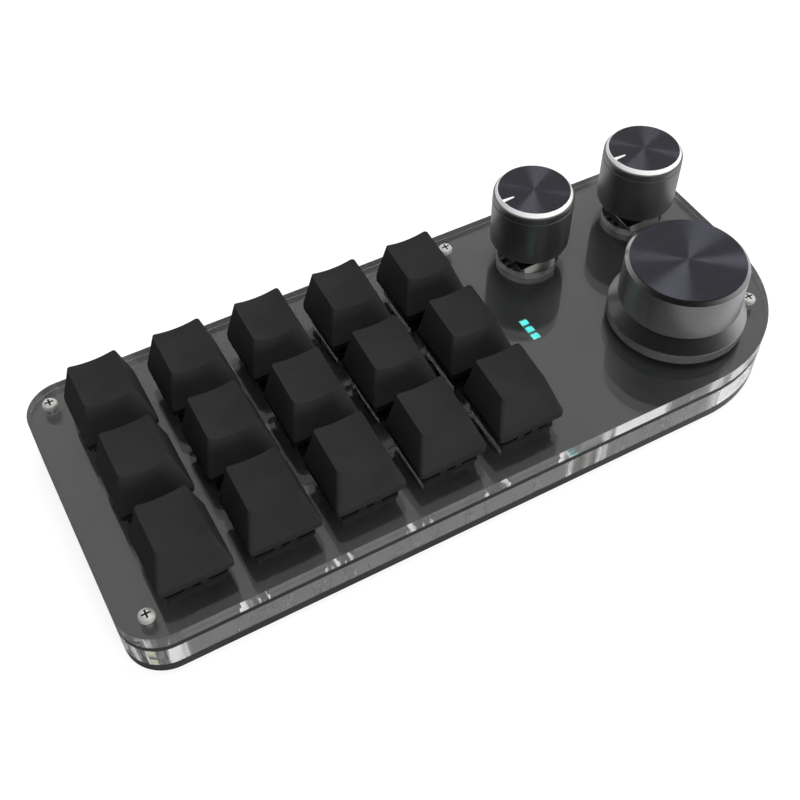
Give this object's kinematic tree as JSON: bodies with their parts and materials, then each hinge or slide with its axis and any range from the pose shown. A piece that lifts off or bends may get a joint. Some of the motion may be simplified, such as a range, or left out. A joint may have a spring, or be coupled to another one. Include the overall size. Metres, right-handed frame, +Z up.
{
  "type": "macro keypad with knobs",
  "caption": "Low acrylic sandwich keypad with a grid of mechanical keys, small knobs with white pointers and a large flanged dial.",
  "frame": {"origin": "centre of the case outline at the underside of the rubber feet", "axes": "+Z up, +X to the right along the long side towards the knobs, +Y to the back edge that holds the socket"},
  "size_m": [0.1936, 0.081, 0.0395],
  "materials": {
    "keycap_plastic": "fine moulded grain, matte black",
    "stem_plastic": "moulded, satin brown",
    "housing_plastic": "moulded, satin black",
    "spring_steel": "drawn wire",
    "tinned_pins": "tinned",
    "smoke_acrylic": "polished, smoke tint",
    "clear_acrylic": "polished, light smoke tint",
    "dark_acrylic": "polished, dark",
    "board_laminate": "black solder mask",
    "screw_steel": "nickel plated",
    "spacer_brass": "turned, pale plated",
    "foot_rubber": "matte",
    "led_lens": "small lens, teal",
    "socket_steel": "drawn steel shell",
    "chip_epoxy": "moulded epoxy",
    "bracket_steel": "nickel plated sheet",
    "shaft_metal": "turned",
    "knob_gloss": "black anodised, satin gloss",
    "ring_white": "moulded white",
    "spun_disc": "dark anodised, spun concentric grain",
    "knob_anodised": "grey bead-blasted anodised"
  },
  "bodies": {
    "root": {"switch_top_housings": "housing_plastic", "switch_bottom_housings": "housing_plastic", "switch_springs": "spring_steel", "solder_pins": "tinned_pins", "top_plate": "smoke_acrylic", "circuit_board": "board_laminate", "middle_frame": "clear_acrylic", "bottom_plate": "dark_acrylic", "case_screws": "screw_steel", "standoffs": "spacer_brass", "rubber_feet": "foot_rubber", "status_leds": "led_lens", "usb_socket": "socket_steel", "controller_chip": "chip_epoxy", "encoder_housings": "housing_plastic", "encoder_brackets": "bracket_steel"},
    "key_back_1": {"keycap_back_1": "keycap_plastic", "switch_stem_back_1": "stem_plastic"},
    "key_back_2": {"keycap_back_2": "keycap_plastic", "switch_stem_back_2": "stem_plastic"},
    "key_back_3": {"keycap_back_3": "keycap_plastic", "switch_stem_back_3": "stem_plastic"},
    "key_back_4": {"keycap_back_4": "keycap_plastic", "switch_stem_back_4": "stem_plastic"},
    "key_back_5": {"keycap_back_5": "keycap_plastic", "switch_stem_back_5": "stem_plastic"},
    "key_middle_1": {"keycap_middle_1": "keycap_plastic", "switch_stem_middle_1": "stem_plastic"},
    "key_middle_2": {"keycap_middle_2": "keycap_plastic", "switch_stem_middle_2": "stem_plastic"},
    "key_middle_3": {"keycap_middle_3": "keycap_plastic", "switch_stem_middle_3": "stem_plastic"},
    "key_middle_4": {"keycap_middle_4": "keycap_plastic", "switch_stem_middle_4": "stem_plastic"},
    "key_middle_5": {"keycap_middle_5": "keycap_plastic", "switch_stem_middle_5": "stem_plastic"},
    "key_front_1": {"keycap_front_1": "keycap_plastic", "switch_stem_front_1": "stem_plastic"},
    "key_front_2": {"keycap_front_2": "keycap_plastic", "switch_stem_front_2": "stem_plastic"},
    "key_front_3": {"keycap_front_3": "keycap_plastic", "switch_stem_front_3": "stem_plastic"},
    "key_front_4": {"keycap_front_4": "keycap_plastic", "switch_stem_front_4": "stem_plastic"},
    "key_front_5": {"keycap_front_5": "keycap_plastic", "switch_stem_front_5": "stem_plastic"},
    "rotor_left": {"encoder_rotor_left": "stem_plastic"},
    "knob_left": {"encoder_shaft_left": "shaft_metal", "knob_left_shell": "knob_gloss", "knob_left_ring": "ring_white", "knob_left_disc": "spun_disc"},
    "rotor_right": {"encoder_rotor_right": "stem_plastic"},
    "knob_right": {"encoder_shaft_right": "shaft_metal", "knob_right_shell": "knob_gloss", "knob_right_ring": "ring_white", "knob_right_disc": "spun_disc"},
    "rotor_large": {"encoder_rotor_large": "stem_plastic"},
    "knob_large": {"encoder_shaft_large": "shaft_metal", "knob_large_body": "knob_anodised", "knob_large_disc": "spun_disc"}
  },
  "joints": [
    {"name": "press_back_1", "type": "slide", "parent": "root", "child": "key_back_1", "axis": [0, 0, 1], "range_m": [-0.004, 0], "stiffness_N_per_m": 75, "springref_m": 0.004, "deforming": ["switch_springs"]},
    {"name": "press_back_2", "type": "slide", "parent": "root", "child": "key_back_2", "axis": [0, 0, 1], "range_m": [-0.004, 0], "stiffness_N_per_m": 75, "springref_m": 0.004, "deforming": ["switch_springs"]},
    {"name": "press_back_3", "type": "slide", "parent": "root", "child": "key_back_3", "axis": [0, 0, 1], "range_m": [-0.004, 0], "stiffness_N_per_m": 75, "springref_m": 0.004, "deforming": ["switch_springs"]},
    {"name": "press_back_4", "type": "slide", "parent": "root", "child": "key_back_4", "axis": [0, 0, 1], "range_m": [-0.004, 0], "stiffness_N_per_m": 75, "springref_m": 0.004, "deforming": ["switch_springs"]},
    {"name": "press_back_5", "type": "slide", "parent": "root", "child": "key_back_5", "axis": [0, 0, 1], "range_m": [-0.004, 0], "stiffness_N_per_m": 75, "springref_m": 0.004, "deforming": ["switch_springs"]},
    {"name": "press_middle_1", "type": "slide", "parent": "root", "child": "key_middle_1", "axis": [0, 0, 1], "range_m": [-0.004, 0], "stiffness_N_per_m": 75, "springref_m": 0.004, "deforming": ["switch_springs"]},
    {"name": "press_middle_2", "type": "slide", "parent": "root", "child": "key_middle_2", "axis": [0, 0, 1], "range_m": [-0.004, 0], "stiffness_N_per_m": 75, "springref_m": 0.004, "deforming": ["switch_springs"]},
    {"name": "press_middle_3", "type": "slide", "parent": "root", "child": "key_middle_3", "axis": [0, 0, 1], "range_m": [-0.004, 0], "stiffness_N_per_m": 75, "springref_m": 0.004, "deforming": ["switch_springs"]},
    {"name": "press_middle_4", "type": "slide", "parent": "root", "child": "key_middle_4", "axis": [0, 0, 1], "range_m": [-0.004, 0], "stiffness_N_per_m": 75, "springref_m": 0.004, "deforming": ["switch_springs"]},
    {"name": "press_middle_5", "type": "slide", "parent": "root", "child": "key_middle_5", "axis": [0, 0, 1], "range_m": [-0.004, 0], "stiffness_N_per_m": 75, "springref_m": 0.004, "deforming": ["switch_springs"]},
    {"name": "press_front_1", "type": "slide", "parent": "root", "child": "key_front_1", "axis": [0, 0, 1], "range_m": [-0.004, 0], "stiffness_N_per_m": 75, "springref_m": 0.004, "deforming": ["switch_springs"]},
    {"name": "press_front_2", "type": "slide", "parent": "root", "child": "key_front_2", "axis": [0, 0, 1], "range_m": [-0.004, 0], "stiffness_N_per_m": 75, "springref_m": 0.004, "deforming": ["switch_springs"]},
    {"name": "press_front_3", "type": "slide", "parent": "root", "child": "key_front_3", "axis": [0, 0, 1], "range_m": [-0.004, 0], "stiffness_N_per_m": 75, "springref_m": 0.004, "deforming": ["switch_springs"]},
    {"name": "press_front_4", "type": "slide", "parent": "root", "child": "key_front_4", "axis": [0, 0, 1], "range_m": [-0.004, 0], "stiffness_N_per_m": 75, "springref_m": 0.004, "deforming": ["switch_springs"]},
    {"name": "press_front_5", "type": "slide", "parent": "root", "child": "key_front_5", "axis": [0, 0, 1], "range_m": [-0.004, 0], "stiffness_N_per_m": 75, "springref_m": 0.004, "deforming": ["switch_springs"]},
    {"name": "turn_left", "type": "hinge", "parent": "root", "child": "rotor_left", "pos_m": [0.0446, 0.0226, 0.0168], "axis": [0, 0, 1], "continuous": true},
    {"name": "push_left", "type": "slide", "parent": "rotor_left", "child": "knob_left", "axis": [0, 0, 1], "range_m": [-0.0005, 0], "stiffness_N_per_m": 2000, "springref_m": 0.002},
    {"name": "turn_right", "type": "hinge", "parent": "root", "child": "rotor_right", "pos_m": [0.0803, 0.0224, 0.0168], "axis": [0, 0, 1], "continuous": true},
    {"name": "push_right", "type": "slide", "parent": "rotor_right", "child": "knob_right", "axis": [0, 0, 1], "range_m": [-0.0005, 0], "stiffness_N_per_m": 2000, "springref_m": 0.002},
    {"name": "turn_large", "type": "hinge", "parent": "root", "child": "rotor_large", "pos_m": [0.0656, -0.0169, 0.0168], "axis": [0, 0, 1], "continuous": true},
    {"name": "push_large", "type": "slide", "parent": "rotor_large", "child": "knob_large", "axis": [0, 0, 1], "range_m": [-0.0005, 0], "stiffness_N_per_m": 2000, "springref_m": 0.002}
  ]
}
